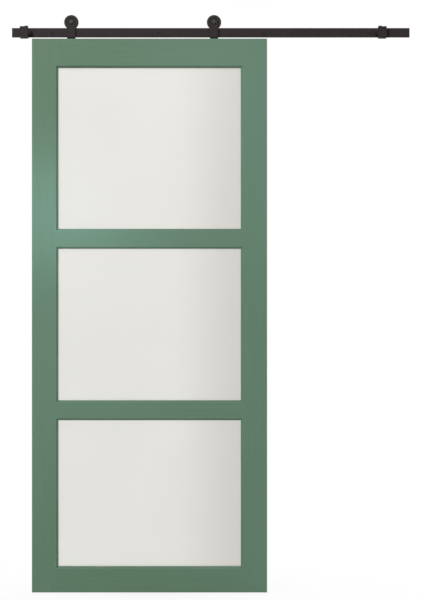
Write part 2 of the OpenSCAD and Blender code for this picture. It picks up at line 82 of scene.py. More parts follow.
# Fall of the chamfer that is turned on the corners of bolt heads and nuts
CHAMFER_SLOPE = math.tan(math.radians(28.0))

Colour = tuple[float, float, float, float]
Profile = float | Callable[[float], float]


class Side(Enum):
    """End of the track, as seen from the front."""

    LEFT = "left"
    RIGHT = "right"


class Pane(Enum):
    """The three panes, from the top."""

    TOP = "top"
    MIDDLE = "middle"
    BOTTOM = "bottom"


class Run(Enum):
    """Way in which a member lies, and how its paint strokes are drawn out along it."""

    UPRIGHT = (1.0, 1.0, 0.03)
    LEVEL = (0.03, 1.0, 1.0)


class Facing(Enum):
    """Way in which the head of a fastener looks, as the columns of its turn."""

    FRONT = ((1, 0, 0), (0, 0, 1), (0, -1, 0))
    BACK = ((-1, 0, 0), (0, 0, 1), (0, 1, 0))
    UP = ((1, 0, 0), (0, 1, 0), (0, 0, 1))
    RIGHT = ((0, 1, 0), (0, 0, 1), (1, 0, 0))
    LEFT = ((0, -1, 0), (0, 0, 1), (-1, 0, 0))

    def place(self, at: Vector) -> Matrix:
        """Placement of a fastener whose head looks this way.

        Args:
            at: Point under the head, or on its face for a sunk head, in metres.

        Returns:
            Matrix from the fastener's own millimetres to the frame's metres.
        """
        turn = Matrix(self.value).transposed().to_4x4()
        return Matrix.Translation(at) @ turn @ Matrix.Scale(MM, 4)


def linear(srgb: str) -> Colour:
    """Turns an sRGB hex colour to linear light.

    Args:
        srgb: Colour written as "#rrggbb".

    Returns:
        Linear red, green and blue, and full alpha.
    """
    parts = [int(srgb[n : n + 2], 16) / 255.0 for n in (1, 3, 5)]
    light = [c / 12.92 if c <= 0.04045 else ((c + 0.055) / 1.055) ** 2.4 for c in parts]
    return (light[0], light[1], light[2], 1.0)


def add_node(
    tree: bpy.types.NodeTree,
    kind: str,
    settings: dict[str, object] | None = None,
    links: dict[str | int, object] | None = None,
) -> bpy.types.Node:
    """Adds one node with its settings and links.

    Args:
        tree: Node tree of a material, of the world or of a modifier.
        kind: Blender's name for the node.
        settings: Values of the node's own properties.
        links: Each input with the output that feeds it, or with its fixed value.

    Returns:
        The new node.
    """
    node = tree.nodes.new(kind)
    for name, value in (settings or {}).items():
        setattr(node, name, value)
    for name, value in (links or {}).items():
        if isinstance(value, bpy.types.NodeSocket):
            tree.links.new(value, node.inputs[name])
        else:
            node.inputs[name].default_value = value
    return node


def per_metre(size_mm: float) -> float:
    """Texture scale at which one feature of a noise is this many millimetres wide."""
    return 1.0 / (size_mm * MM)


@dataclass(frozen=True)
class Finish:
    """A finish that becomes a material the first time that a piece takes it.

    Attributes:
        name: Name of the material.
        slot: Slot of the record that the finish belongs to; not used.
        roughness: Lowest and highest roughness over the pattern.
        relief: Strength of the relief.
        relief_mm: Height of the relief.
    """

    name: str
    slot: str
    roughness: tuple[float, float]
    relief: float
    relief_mm: float

    def material(self) -> bpy.types.Material:
        """Makes the material of this finish, or finds it.

        Returns:
            The material, the same one at each call.
        """
        known = bpy.data.materials.get(self.name)
        if known is not None:
            return known
        made = bpy.data.materials.new(self.name)
        made.use_nodes = True
        tree = made.node_tree
        tree.nodes.clear()
        place = add_node(tree, "ShaderNodeTexCoord").outputs["Object"]
        shader = add_node(tree, "ShaderNodeBsdfPrincipled")
        add_node(
            tree, "ShaderNodeOutputMaterial", links={"Surface": shader.outputs["BSDF"]}
        )
        self.dress(tree, shader, place)
        return made

    def dress(
        self, tree: bpy.types.NodeTree, shader: bpy.types.Node, place: bpy.types.NodeSocket
    ) -> None:
        """Sets up the shader of this finish.

        Args:
            tree: Node tree of the material.
            shader: Its main shader.
            place: Point on the piece, in metres.
        """
        raise NotImplementedError

    def feed(
        self,
        tree: bpy.types.NodeTree,
        shader: bpy.types.Node,
        colour: bpy.types.NodeSocket,
        sheen: bpy.types.NodeSocket,
        height: bpy.types.NodeSocket,
    ) -> None:
        """Feeds the shader with colour, roughness and relief.

        Args:
            tree: Node tree of the material.
            shader: Its main shader.
            colour: Colour of the surface.
            sheen: Pattern that the roughness follows.
            height: Pattern that the relief follows.
        """
        rough = add_node(
            tree,
            "ShaderNodeMapRange",
            links={
                "Value": sheen,
                "To Min": self.roughness[0],
                "To Max": self.roughness[1],
            },
        )
        bumps = add_node(
            tree,
            "ShaderNodeBump",
            links={
                "Strength": self.relief,
                "Distance": self.relief_mm * MM,
                "Height": height,
            },
        )
        tree.links.new(colour, shader.inputs["Base Color"])
        tree.links.new(rough.outputs["Result"], shader.inputs["Roughness"])
        tree.links.new(bumps.outputs["Normal"], shader.inputs["Normal"])


@dataclass(frozen=True)
class SprayedEnamel(Finish):
    """Satin enamel sprayed on primed timber.

    The film is thin and even, so the eye gets a soft sheen with a faint orange peel,
    streaks along each member where the primer was sanded, and slow drifts of tone where
    the coats lap. The drifts are partly painted highlight and painted shade: lighter,
    cooler patches and darker ones laid where sheen and shade fall.
    """

    colour: str = "#6d9281"
    lap_and_shade_colour: str = "#4d6d4d"
    streak_colour: str = "#6a8c72"
    run: Run = Run.UPRIGHT
    ior: float = 1.48
    roughness: tuple[float, float] = (0.34, 0.48)
    # One drift is about as long as a stroke of the arm, and the seed picks where they lie,
    # so that the lighter and darker drifts fall as painted highlight and painted shade.
    lap_mm: float = 900.0
    sheen_and_shade_seed: float = 1612.1
    # Real sanding streaks are about 1 mm wide and real peel 2 mm, too fine for the
    # picture, so both are drawn several times as coarse.
    streak_mm: float = 7.0
    streak_range: tuple[float, float] = (0.38, 0.68)
    streak_share: float = 0.22
    peel_mm: float = 5.0
    relief: float = 0.5
    relief_mm: float = 0.2

    def dress(
        self, tree: bpy.types.NodeTree, shader: bpy.types.Node, place: bpy.types.NodeSocket
    ) -> None:
        """Sets up the laps, streaks and peel of the enamel.

        Args:
            tree: Node tree of the material.
            shader: Its main shader.
            place: Point on the piece, in metres.
        """
        # Drifts of tone from the coats, partly painted highlight and painted shade
        lap = add_node(
            tree,
            "ShaderNodeTexNoise",
            {"noise_dimensions": "4D"},
            {
                "Vector": place,
                "W": self.sheen_and_shade_seed,
                "Scale": per_metre(self.lap_mm),
                "Detail": DRIFT,
            },
        )
        tint = add_node(
            tree,
            "ShaderNodeMix",
            {"data_type": "RGBA"},
            {
                MIX_FACTOR: lap.outputs["Fac"],
                MIX_A: linear(self.colour),
                MIX_B: linear(self.lap_and_shade_colour),
            },
        )
        drawn = add_node(
            tree, "ShaderNodeMapping", links={"Vector": place, "Scale": self.run.value}
        )
        streak = add_node(
            tree,
            "ShaderNodeTexNoise",
            links={
                "Vector": drawn.outputs["Vector"],
                "Scale": per_metre(self.streak_mm),
                "Detail": FIBRE,
            },
        )
        share = add_node(
            tree,
            "ShaderNodeMapRange",
            links={
                "Value": streak.outputs["Fac"],
                "From Min": self.streak_range[0],
                "From Max": self.streak_range[1],
                "To Max": self.streak_share,
            },
        )
        film = add_node(
            tree,
            "ShaderNodeMix",
            {"data_type": "RGBA"},
            {
                MIX_FACTOR: share.outputs["Result"],
                MIX_A: tint.outputs[MIX_RESULT],
                MIX_B: linear(self.streak_colour),
            },
        )
        peel = add_node(
            tree,
            "ShaderNodeTexNoise",
            links={"Vector": place, "Scale": per_metre(self.peel_mm), "Detail": DRIFT},
        )
        shader.inputs["IOR"].default_value = self.ior
        self.feed(
            tree,
            shader,
            film.outputs[MIX_RESULT],
            streak.outputs["Fac"],
            peel.outputs["Fac"],
        )


@dataclass(frozen=True)
class GrainyCoat(Finish):
    """Coat or skin with one grain, such as powder coat, plating, rubber, plastic or foam.

    The grain shifts the colour, the roughness and the relief together, so that light
    breaks up on it instead of lying in one flat tone.
    """

    colour: str = "#181211"
    grain_colour: str = "#2a2120"
    metallic: float = 0.0
    ior: float | None = None
    specular: float = 0.5
    roughness: tuple[float, float] = (0.5, 0.62)
    # Real grain is a few tenths of a millimetre wide; it is drawn coarser so that it shows.
    grain_mm: float = 1.8
    grain_share: float = 0.5
    patch_mm: float = 45.0
    patch_range: tuple[float, float] = (0.45, 1.05)
    relief: float = 0.6
    relief_mm: float = 0.16

    def dress(
        self, tree: bpy.types.NodeTree, shader: bpy.types.Node, place: bpy.types.NodeSocket
    ) -> None:
        """Sets up the grain and the slower patches of the coat.

        Args:
            tree: Node tree of the material.
            shader: Its main shader.
            place: Point on the piece, in metres.
        """
        grain = add_node(
            tree,
            "ShaderNodeTexNoise",
            links={"Vector": place, "Scale": per_metre(self.grain_mm), "Detail": CLOUD},
        )
        patch = add_node(
            tree,
            "ShaderNodeTexNoise",
            links={"Vector": place, "Scale": per_metre(self.patch_mm), "Detail": CLOUD},
        )
        both = add_node(
            tree,
            "ShaderNodeMath",
            {"operation": "MULTIPLY_ADD"},
            {0: grain.outputs["Fac"], 1: self.grain_share, 2: patch.outputs["Fac"]},
        )
        spread = add_node(
            tree,
            "ShaderNodeMapRange",
            links={
                "Value": both.outputs["Value"],
                "From Min": self.patch_range[0],
                "From Max": self.patch_range[1],
            },
        )
        tint = add_node(
            tree,
            "ShaderNodeMix",
            {"data_type": "RGBA"},
            {
                MIX_FACTOR: spread.outputs["Result"],
                MIX_A: linear(self.colour),
                MIX_B: linear(self.grain_colour),
            },
        )
        shader.inputs["Metallic"].default_value = self.metallic
        shader.inputs["Specular IOR Level"].default_value = self.specular
        if self.ior is not None:
            shader.inputs["IOR"].default_value = self.ior
        self.feed(
            tree,
            shader,
            tint.outputs[MIX_RESULT],
            spread.outputs["Result"],
            grain.outputs["Fac"],
        )


@dataclass(frozen=True)
class TurnedNylon(Finish):
    """Black nylon turned on a lathe.

    The tool leaves rings round the axle, which draw a soft streak of light across them.
    """

    axle: tuple[float, float, float] = (0.0, 0.0, 0.0)
    colour: str = "#1b1817"
    ring_colour: str = "#282422"
    ior: float = 1.53
    specular: float = 0.25
    roughness: tuple[float, float] = (0.4, 0.55)
    # Real feed marks are 0.2 mm apart; they are drawn coarser so that they show.
    ring_mm: float = 1.6
    ring_waver: float = 0.6
    relief: float = 0.5
    relief_mm: float = 0.04

    def dress(
        self, tree: bpy.types.NodeTree, shader: bpy.types.Node, place: bpy.types.NodeSocket
    ) -> None:
        """Sets up the tool rings round the axle.

        Args:
            tree: Node tree of the material.
            shader: Its main shader.
            place: Point on the piece, in metres.
        """
        centred = add_node(
            tree,
            "ShaderNodeMapping",
            links={"Vector": place, "Location": tuple(-c for c in self.axle)},
        )
        rings = add_node(
            tree,
            "ShaderNodeTexWave",
            {"wave_type": "RINGS", "rings_direction": "Y"},
            {
                "Vector": centred.outputs["Vector"],
                "Scale": WAVE_UNIT * per_metre(self.ring_mm),
                "Distortion": self.ring_waver,
                "Detail": DRIFT,
            },
        )
        tint = add_node(
            tree,
            "ShaderNodeMix",
            {"data_type": "RGBA"},
            {
                MIX_FACTOR: rings.outputs["Fac"],
                MIX_A: linear(self.colour),
                MIX_B: linear(self.ring_colour),
            },
        )
        shader.inputs["IOR"].default_value = self.ior
        shader.inputs["Specular IOR Level"].default_value = self.specular
        ring = rings.outputs["Fac"]
        self.feed(tree, shader, tint.outputs[MIX_RESULT], ring, ring)


@dataclass(frozen=True)
class EtchedGlass(Finish):
    """Float glass etched to a satin face on both sides.

    It lets the light through but scatters it, so what is behind turns to a milky white
    with only the faintest cloud in it. Towards the right of the leaf the white is painted
    greyer: painted shade.
    """

    colour: str = "#e9e8e3"
    cloud_colour: str = "#e4e3dd"
    painted_shade_colour: str = "#d3d1cb"
    shade_from_x: float = -0.17
    shade_to_x: float = 0.125
    ior: float = 1.52
    roughness: tuple[float, float] = (0.28, 0.34)
    transmission: float = 0.96
    cloud_mm: float = 220.0
    # The etch itself has pits of about 0.05 mm; they are drawn coarser.
    pit_mm: float = 5.0
    relief: float = 0.3
    relief_mm: float = 0.02

    def dress(
        self, tree: bpy.types.NodeTree, shader: bpy.types.Node, place: bpy.types.NodeSocket
    ) -> None:
        """Sets up the milky body, painted greyer towards the right as painted shade, and
        the etched face.

        Args:
            tree: Node tree of the material.
            shader: Its main shader.
            place: Point on the piece, in metres.
        """
        cloud = add_node(
            tree,
            "ShaderNodeTexNoise",
            links={"Vector": place, "Scale": per_metre(self.cloud_mm), "Detail": CLOUD},
        )
        tint = add_node(
            tree,
            "ShaderNodeMix",
            {"data_type": "RGBA"},
            {
                MIX_FACTOR: cloud.outputs["Fac"],
                MIX_A: linear(self.colour),
                MIX_B: linear(self.cloud_colour),
            },
        )
        across = add_node(tree, "ShaderNodeSeparateXYZ", links={"Vector": place})
        # Painted shade: the glass turns greyer towards the right of the leaf
        shade_share = add_node(
            tree,
            "ShaderNodeMapRange",
            {"interpolation_type": "SMOOTHSTEP"},
            {
                "Value": across.outputs["X"],
                "From Min": self.shade_from_x,
                "From Max": self.shade_to_x,
            },
        )
        body = add_node(
            tree,
            "ShaderNodeMix",
            {"data_type": "RGBA"},
            {
                MIX_FACTOR: shade_share.outputs["Result"],
                MIX_A: tint.outputs[MIX_RESULT],
                MIX_B: linear(self.painted_shade_colour),
            },
        )
        pits = add_node(
            tree,
            "ShaderNodeTexNoise",
            links={"Vector": place, "Scale": per_metre(self.pit_mm), "Detail": CLOUD},
        )
        shader.inputs["IOR"].default_value = self.ior
        shader.inputs["Transmission Weight"].default_value = self.transmission
        pit = pits.outputs["Fac"]
        self.feed(tree, shader, body.outputs[MIX_RESULT], pit, pit)


# Enamel: sprayed member by member, so that its streaks run along stile and rail alike.
ENAMEL_UPRIGHT = SprayedEnamel("sprayed_satin_enamel_upright", "painted_timber")
ENAMEL_LEVEL = SprayedEnamel(
    "sprayed_satin_enamel_level", "painted_timber", run=Run.LEVEL
)
# Polyester powder, baked on steel: a dry black with a fine pebble and hardly any gloss.
POWDER_COAT = GrainyCoat("powder_coated_steel", "black_steel", ior=1.5, specular=0.22)
# Steel blackened in hot salts: a skin so thin that a dull glint of metal comes through.
BLACK_OXIDE = GrainyCoat(
    "black_oxide_steel",
    "black_steel",
    colour="#343231",
    grain_colour="#434140",
    metallic=1.0,
    roughness=(0.42, 0.55),
    grain_mm=1.2,
    relief_mm=0.04,
    patch_mm=12.0,
)
# Zinc, plated in a drum: pale grey metal with a faint straw bloom where it was sealed.
ZINC_PLATE = GrainyCoat(
    "zinc_plated_steel",
    "zinc_steel",
    colour="#aeb2b8",
    grain_colour="#c6c4b8",
    metallic=1.0,
    roughness=(0.28, 0.4),
    grain_mm=2.0,
    relief_mm=0.02,
    patch_mm=10.0,
)
# Hard steel, ground and polished: bright and nearly a mirror, with a little haze.
BEARING_STEEL = GrainyCoat(
    "ground_bearing_steel",
    "bearing_steel",
    colour="#bcc0c3",
    grain_colour="#cdd0d2",
    metallic=1.0,
    roughness=(0.14, 0.22),
    grain_mm=1.5,
    relief_mm=0.01,
    patch_mm=8.0,
)
# Nylon, moulded against a blasted tool: charcoal with a low, even sheen.
MOULDED_NYLON = GrainyCoat(
    "moulded_nylon",
    "nylon",
    colour="#2a2827",
    grain_colour="#343130",
    ior=1.53,
    roughness=(0.4, 0.52),
    grain_mm=1.5,
    relief_mm=0.03,
    patch_mm=9.0,
)
# Polyethylene, moulded and cut to length: a dull, waxy black.
SETTING_PLASTIC = GrainyCoat(
    "moulded_polyethylene",
    "setting_plastic",
    colour="#1f2022",
    grain_colour="#2b2c2e",
    ior=1.51,
    roughness=(0.45, 0.6),
    grain_mm=2.0,
    patch_mm=20.0,
)
# Rubber, moulded and left matt: soft black that takes light without a highlight.
RUBBER = GrainyCoat(
    "moulded_rubber",
    "rubber",
    colour="#1a1918",
    grain_colour="#282624",
    ior=1.52,
    specular=0.2,
    roughness=(0.66, 0.8),
    grain_mm=2.0,
    relief_mm=0.08,
    patch_mm=14.0,
)
# Foam, blown with closed cells and slit to tape: matt off-white with small pocks.
FOAM_TAPE = GrainyCoat(
    "closed_cell_foam",
    "glazing_foam",
    colour="#cfcfc8",
    grain_colour="#e0e0da",
    ior=1.45,
    roughness=(0.8, 0.92),
    grain_mm=1.5,
    relief_mm=0.2,
    patch_mm=30.0,
)
# Beech, planed and left bare: pale straw brown with short flecks.
BEECH = GrainyCoat(
    "planed_beech",
    "beech",
    colour="#bf9c6c",
    grain_colour="#d2b285",
    ior=1.45,
    roughness=(0.55, 0.7),
    grain_mm=2.0,
    relief_mm=0.06,
    patch_mm=15.0,
)
# Float glass, etched in acid: milky and soft to look at, with no clear reflection.
ETCHED_GLASS = EtchedGlass("satin_etched_glass", "frosted_glass")


@dataclass(frozen=True)
class Easing:
    """How the outer edges of a piece are rounded over.

    Attributes:
        width_mm: Width of the rounded edge.
        shortest_mm: Edges shorter than this in x, y and z stay crisp, such as those shut in
            a joint.
        steps: Number of facets across the rounded edge.
        sharp_deg: Faces that turn by more than this meet in an edge.
        smooth_deg: Faces that turn by less than this are one flat.
        weight_name: Name under which the bevel looks for its weights.
    """

    width_mm: float
    shortest_mm: tuple[float, float, float] = ANY_EDGE_MM
    steps: int = 2
    sharp_deg: float = 35.0
    smooth_deg: float = 0.5
    weight_name: str = "bevel_weight_edge"

    def apply(self, piece: bpy.types.Object) -> None:
        """Puts the modifiers on a piece, whose points have been joined.

        Args:
            piece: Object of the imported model.
        """
        flat = piece.modifiers.new("whole_flats", "DECIMATE")
        flat.decimate_type = "DISSOLVE"
        flat.angle_limit = math.radians(self.smooth_deg)
        picked = piece.modifiers.new("picked_edges", "NODES")
        picked.node_group = self.picker()
        soft = piece.modifiers.new("eased_edges", "BEVEL")
        soft.width = self.width_mm * MM
        soft.segments = self.steps
        soft.limit_method = "WEIGHT"
        soft.use_clamp_overlap = False
        closed = piece.modifiers.new("closed_corners", "WELD")
        closed.merge_threshold = CLOSE_MM * MM
        even = piece.modifiers.new("even_shading", "WEIGHTED_NORMAL")
        even.keep_sharp = True

    def picker(self) -> bpy.types.NodeTree:
        """Makes the nodes that weigh the edges: none in inside corners or round holes.

        The side of a hole turns gently inwards, so both ends of an edge on its rim touch
        a gently hollow edge.

        Returns:
            The node group, made once for each set of shortest edges.
        """
        name = "edges_over_{:g}_{:g}_{:g}_mm".format(*self.shortest_mm)
        if name in bpy.data.node_groups:
            return bpy.data.node_groups[name]
        tree = bpy.data.node_groups.new(name, "GeometryNodeTree")
        for way in ("INPUT", "OUTPUT"):
            tree.interface.new_socket(
                "Geometry", in_out=way, socket_type="NodeSocketGeometry"
            )
        given = add_node(tree, "NodeGroupInput")
        turn = add_node(tree, "GeometryNodeInputMeshEdgeAngle").outputs["Signed Angle"]
        ends = add_node(tree, "GeometryNodeInputMeshEdgeVertices")
        span = add_node(
            tree,
            "ShaderNodeVectorMath",
            {"operation": "SUBTRACT"},
            {0: ends.outputs["Position 1"], 1: ends.outputs["Position 2"]},
        )
        share = add_node(
            tree,
            "ShaderNodeVectorMath",
            {"operation": "DIVIDE"},
            {0: span.outputs["Vector"], 1: Vector(self.shortest_mm) * MM},
        )
        length = add_node(
            tree,
            "ShaderNodeVectorMath",
            {"operation": "LENGTH"},
            {0: share.outputs["Vector"]},
        )
        shortest_share = 1.0
        sharp, long = (
            add_node(
                tree,
                "FunctionNodeCompare",
                {"operation": "GREATER_THAN"},
                {0: value, 1: least},
            )
            for value, least in (
                (turn, math.radians(self.sharp_deg)),
                (length.outputs["Value"], shortest_share),
            )
        )
        outer = add_node(
            tree,
            "FunctionNodeBooleanMath",
            {"operation": "AND"},
            {0: sharp.outputs["Result"], 1: long.outputs["Result"]},
        )
        hollow = add_node(
            tree,
            "FunctionNodeCompare",
            {"operation": "EQUAL"},
            {
                0: turn,
                1: -math.radians(self.sharp_deg + self.smooth_deg) / 2.0,
                "Epsilon": math.radians(self.sharp_deg - self.smooth_deg) / 2.0,
            },
        )
        rim = hollow.outputs["Result"]
        for domain in ("EDGE", "POINT"):
            rim = add_node(
                tree,
                "GeometryNodeFieldOnDomain",
                {"data_type": "BOOLEAN", "domain": domain},
                {"Value": rim},
            ).outputs["Value"]
        eased = add_node(
            tree,
            "FunctionNodeBooleanMath",
            {"operation": "NIMPLY"},
            {0: outer.outputs["Boolean"], 1: rim},
        )
        weighed = add_node(
            tree,
            "GeometryNodeStoreNamedAttribute",
            {"data_type": "FLOAT", "domain": "EDGE"},
            {
                "Geometry": given.outputs["Geometry"],
                "Name": self.weight_name,
                "Value": eased.outputs["Boolean"],
            },
        )
        add_node(tree, "NodeGroupOutput", links={"Geometry": weighed.outputs["Geometry"]})
        return tree


def dress_node(
    name: str, finish: Finish, easing: Easing | None = None, weld: bool = False
) -> None:
    """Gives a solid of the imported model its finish, and softens its edges.

    Args:
        name: Name of the solid's node.
        finish: Finish that it takes.
        easing: How its edges are rounded, or nothing to leave them as they are.
        weld: Whether points that fall together are joined where no edge is softened.
    """
    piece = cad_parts[name]
    if not piece.material_slots:
        piece.data.materials.append(None)
    for held in piece.material_slots:
        held.material = finish.material()
    if weld or easing:
        joined = piece.modifiers.new("joined_corners", "WELD")
        joined.merge_threshold = JOIN_MM * MM
    if easing:
        easing.apply(piece)
    LOG.info("dressed %s in %s", name, finish.name)


def hexagon(flats_mm: float) -> Callable[[float], float]:
    """Outline of a hexagon with a corner at angle zero.

    Args:
        flats_mm: Width across flats.

    Returns:
        Function that gives the radius at an angle in radians.
    """
    sixth = math.pi / 3.0

    def radius(angle: float) -> float:
        """Radius of the hexagon at this angle."""
        return flats_mm / 2.0 / math.cos(angle % sixth - sixth / 2.0)

    return radius


@dataclass
class RingPile:
    """Skin drawn through a pile of rings round one axis, in millimetres."""

    segments: int = 48
    rows_per_turn: int = 8
    joined: bool = False
    rings: list[list[Vector]] = field(default_factory=list)

    def ring(self, radius: Profile, height: Profile) -> None:
        """Adds one ring to the pile.

        Args:
            radius: Radius of the ring, or a function that gives it at each angle.
            height: Height of the ring, or a function that gives it at each angle.
        """
        points = []
        for n in range(self.segments):
            angle = math.tau * n / self.segments
            r = radius(angle) if callable(radius) else radius
            z = height(angle) if callable(height) else height
            points.append(Vector((r * math.cos(angle), r * math.sin(angle), z)))
        self.rings.append(points)

    def thread(
        self, top: float, bottom: float, crest: float, root: float, pitch: float
    ) -> None:
        """Adds a screw thread that fades out at both ends.

        Args:
            top: Height where the thread starts.
            bottom: Height where it ends.
            crest: Radius over the thread.
            root: Radius of the core.
            pitch: Distance from one turn to the next.
        """
        rows = max(2, round((top - bottom) / pitch * self.rows_per_turn))
        for n in range(rows + 1):
            height = top + (bottom - top) * n / rows
            fade = min(1.0, (top - height) / pitch, (height - bottom) / pitch)

            def radius(angle: float, height: float = height, fade: float = fade) -> float:
                """Radius of the thread at this angle and height."""
                turn = (height / pitch + angle / math.tau) % 1.0
                return root + (crest - root) * fade * (1.0 - abs(2.0 * turn - 1.0))

            self.ring(radius, height)

    def skin(self, mesh: bmesh.types.BMesh, place: Matrix) -> None:
        """Draws the faces between the rings.

        Args:
            mesh: Mesh that takes the faces.
            place: Placement of the pile in the frame.
        """
        rows = [[mesh.verts.new(place @ p) for p in ring] for ring in self.rings]
        pairs = list(zip(rows, rows[1:]))
        if self.joined:
            pairs.append((rows[-1], rows[0]))
        for upper, lower in pairs:
            for n in range(self.segments):
                m = (n + 1) % self.segments
                mesh.faces.new((upper[n], lower[n], lower[m], upper[m]))
        if not self.joined:
            mesh.faces.new(rows[0])
            mesh.faces.new(list(reversed(rows[-1])))


@dataclass(frozen=True)
class HexBolt:
    """Hexagon bolt with a chamfered head, a washer face and a threaded end.

    Sizes are in millimetres. The shares are of the width across flats, and those of the
    dish are of the radius of the top face.
    """

    flats: float
    head_h: float
    shank_d: float
    plain_l: float
    thread_l: float
    pitch: float = 1.25
    face_share: float = 0.46
    dish_shares: tuple[float, float] = (0.5, 0.62)
    dish_depth: float = 0.12
    washer_share: float = 0.475
    washer_h: float = 0.35
    run_in: float = 0.1
    thread_depth: float = 0.6
    point_l: float = 0.6
    point_depth: float = 1.1

    def pile(self) -> RingPile:
        """Rings of the bolt, with the underside of the head at zero.

        Returns:
            The pile, from the top of the head down.
        """
        pile = RingPile()
        outline = hexagon(self.flats)
        face_r = self.face_share * self.flats
        washer_r = self.washer_share * self.flats
        shank_r = self.shank_d / 2.0
        end = -self.plain_l - self.thread_l
        floor, brim = self.dish_shares
        pile.ring(floor * face_r, self.head_h - self.dish_depth)
        pile.ring(brim * face_r, self.head_h)
        pile.ring(face_r, self.head_h)
        pile.ring(outline, lambda a: self.head_h - (outline(a) - face_r) * CHAMFER_SLOPE)
        pile.ring(outline, self.washer_h)
        pile.ring(washer_r, self.washer_h)
        pile.ring(washer_r, 0.0)
        pile.ring(shank_r, 0.0)
        if self.plain_l > 0.0:
            pile.ring(shank_r, -self.plain_l)
        pile.thread(
            top=-self.plain_l - self.run_in,
            bottom=end + self.point_l,
            crest=shank_r,
            root=shank_r - self.thread_depth,
            pitch=self.pitch,
        )
        pile.ring(shank_r - self.point_depth, end)
        return pile


@dataclass(frozen=True)
class SunkScrew:
    """Countersunk screw with a hexagon socket and a pointed thread.

    Sizes are in millimetres. The socket's depths are shares of its width, and the point's
    length is a share of the thread's diameter.
    """

    head_d: float
    socket: float
    shank_d: float
    plain_l: float
    thread_d: float
    core_d: float
    length: float
    pitch: float
    drill_r: float = 0.3
    socket_depths: tuple[float, float] = (0.65, 0.5)
    mouth: float = 0.25
    rim: float = 0.4
    run_in: float = 0.4
    point_share: float = 1.6
    nose_share: float = 0.35
    tip_r: float = 0.15

    def pile(self) -> RingPile:
        """Rings of the screw, with the face of the head at zero.

        Returns:
            The pile, from the floor of the socket to the point.
        """
        pile = RingPile()
        socket = hexagon(self.socket)
        drilled, broached = self.socket_depths
        head_r = self.head_d / 2.0
        shank_r = self.shank_d / 2.0
        point_l = self.point_share * self.thread_d
        pile.ring(self.drill_r, -drilled * self.socket)
        pile.ring(socket, -broached * self.socket)
        pile.ring(socket, -self.mouth)
        pile.ring(lambda a: socket(a) + self.mouth, 0.0)
        pile.ring(head_r - self.rim, 0.0)
        pile.ring(head_r, -self.rim / 2.0)
        pile.ring(shank_r, -(head_r - shank_r))
        pile.ring(shank_r, -self.plain_l)
        pile.thread(
            top=-self.plain_l - self.run_in,
            bottom=point_l - self.length,
            crest=self.thread_d / 2.0,
            root=self.core_d / 2.0,
            pitch=self.pitch,
        )
        pile.ring(self.nose_share * self.core_d, self.nose_share * point_l - self.length)
        pile.ring(self.tip_r, -self.length)
        return pile


@dataclass(frozen=True)
class PanScrew:
    """Machine screw with a domed head and a hexagon socket.

    Sizes are in millimetres. The socket's depths and its mouth are shares of its width, and
    the dome's rise is a share of the head's height.
    """

    head_d: float
    head_h: float
    socket: float
    shank_d: float
    length: float
    pitch: float = 0.8
    drill_r: float = 0.2
    socket_depths: tuple[float, float] = (0.7, 0.55)
    mouth_depth: float = 0.15
    mouth_share: float = 0.68
    dome_share: float = 0.6
    dome_steps: int = 5
    rim: float = 0.2
    run_in: float = 0.3
    thread_depth: float = 0.4
    point_l: float = 0.5
    point_depth: float = 0.7

    def pile(self) -> RingPile:
        """Rings of the screw, with the top of the head at zero.

        Returns:
            The pile, from the floor of the socket to the end of the thread.
        """
        pile = RingPile()
        socket = hexagon(self.socket)
        drilled, broached = self.socket_depths
        head_r = self.head_d / 2.0
        rise = self.dome_share * self.head_h
        mouth_r = self.mouth_share * self.socket
        shank_r = self.shank_d / 2.0
        pile.ring(self.drill_r, -drilled * self.socket)
        pile.ring(socket, -broached * self.socket)
        pile.ring(socket, -self.mouth_depth)
        for n in range(self.dome_steps + 1):
            share = n / self.dome_steps
            pile.ring(mouth_r + (head_r - mouth_r) * share, -rise * share * share)
        pile.ring(head_r, -self.head_h + self.rim)
        pile.ring(head_r - self.rim, -self.head_h)
        pile.ring(shank_r, -self.head_h)
        pile.thread(
            top=-self.head_h - self.run_in,
            bottom=self.point_l - self.length,
            crest=shank_r,
            root=shank_r - self.thread_depth,
            pitch=self.pitch,
        )
        pile.ring(shank_r - self.point_depth, -self.length)
        return pile


@dataclass(frozen=True)
class LockNut:
    """Hexagon nut with a rolled collar at its outer end, in millimetres.

    Attributes:
        flats: Width across flats.
        height: Height with the collar.
        bore_d: Diameter of the bore.
        face_share: Radius of the chamfered faces, as a share of the width across flats.
        collar_share: Radius of the collar, as a share of the width across flats.
        shoulder_share: Height of the hexagon, as a share of the whole height.
        lip_steps: Steps out from the bore and down from the top, inside the collar.
        crown_steps: Steps in from the collar and down from the top, over its rolled edge.
        bore_mouth: Size of the chamfer at the seat end of the bore.
    """

    flats: float
    height: float
    bore_d: float
    face_share: float = 0.475
    collar_share: float = 0.44
    shoulder_share: float = 0.72
    lip_steps: tuple[tuple[float, float], ...] = ((0.0, 0.5), (0.35, 0.5), (0.55, 0.1))
    crown_steps: tuple[tuple[float, float], ...] = ((0.9, 0.0), (0.25, 0.3), (0.0, 0.9))
    bore_mouth: float = 0.4

    def pile(self) -> RingPile:
        """Rings of the nut, with its seat at zero and its collar upwards.

        Returns:
            The pile, closed round the bore.
        """
        pile = RingPile(joined=True)
        outline = hexagon(self.flats)
        face_r = self.face_share * self.flats
        shoulder = self.shoulder_share * self.height
        collar_r = self.collar_share * self.flats
        bore_r = self.bore_d / 2.0
        for out, down in self.lip_steps:
            pile.ring(bore_r + out, self.height - down)
        for inset, down in self.crown_steps:
            pile.ring(collar_r - inset, self.height - down)
        pile.ring(collar_r, shoulder)
        pile.ring(face_r, shoulder)
        pile.ring(outline, lambda a: shoulder - (outline(a) - face_r) * CHAMFER_SLOPE)
        pile.ring(outline, lambda a: (outline(a) - face_r) * CHAMFER_SLOPE)
        pile.ring(face_r, 0.0)
        pile.ring(bore_r + self.bore_mouth, 0.0)
        pile.ring(bore_r, self.bore_mouth)
        return pile


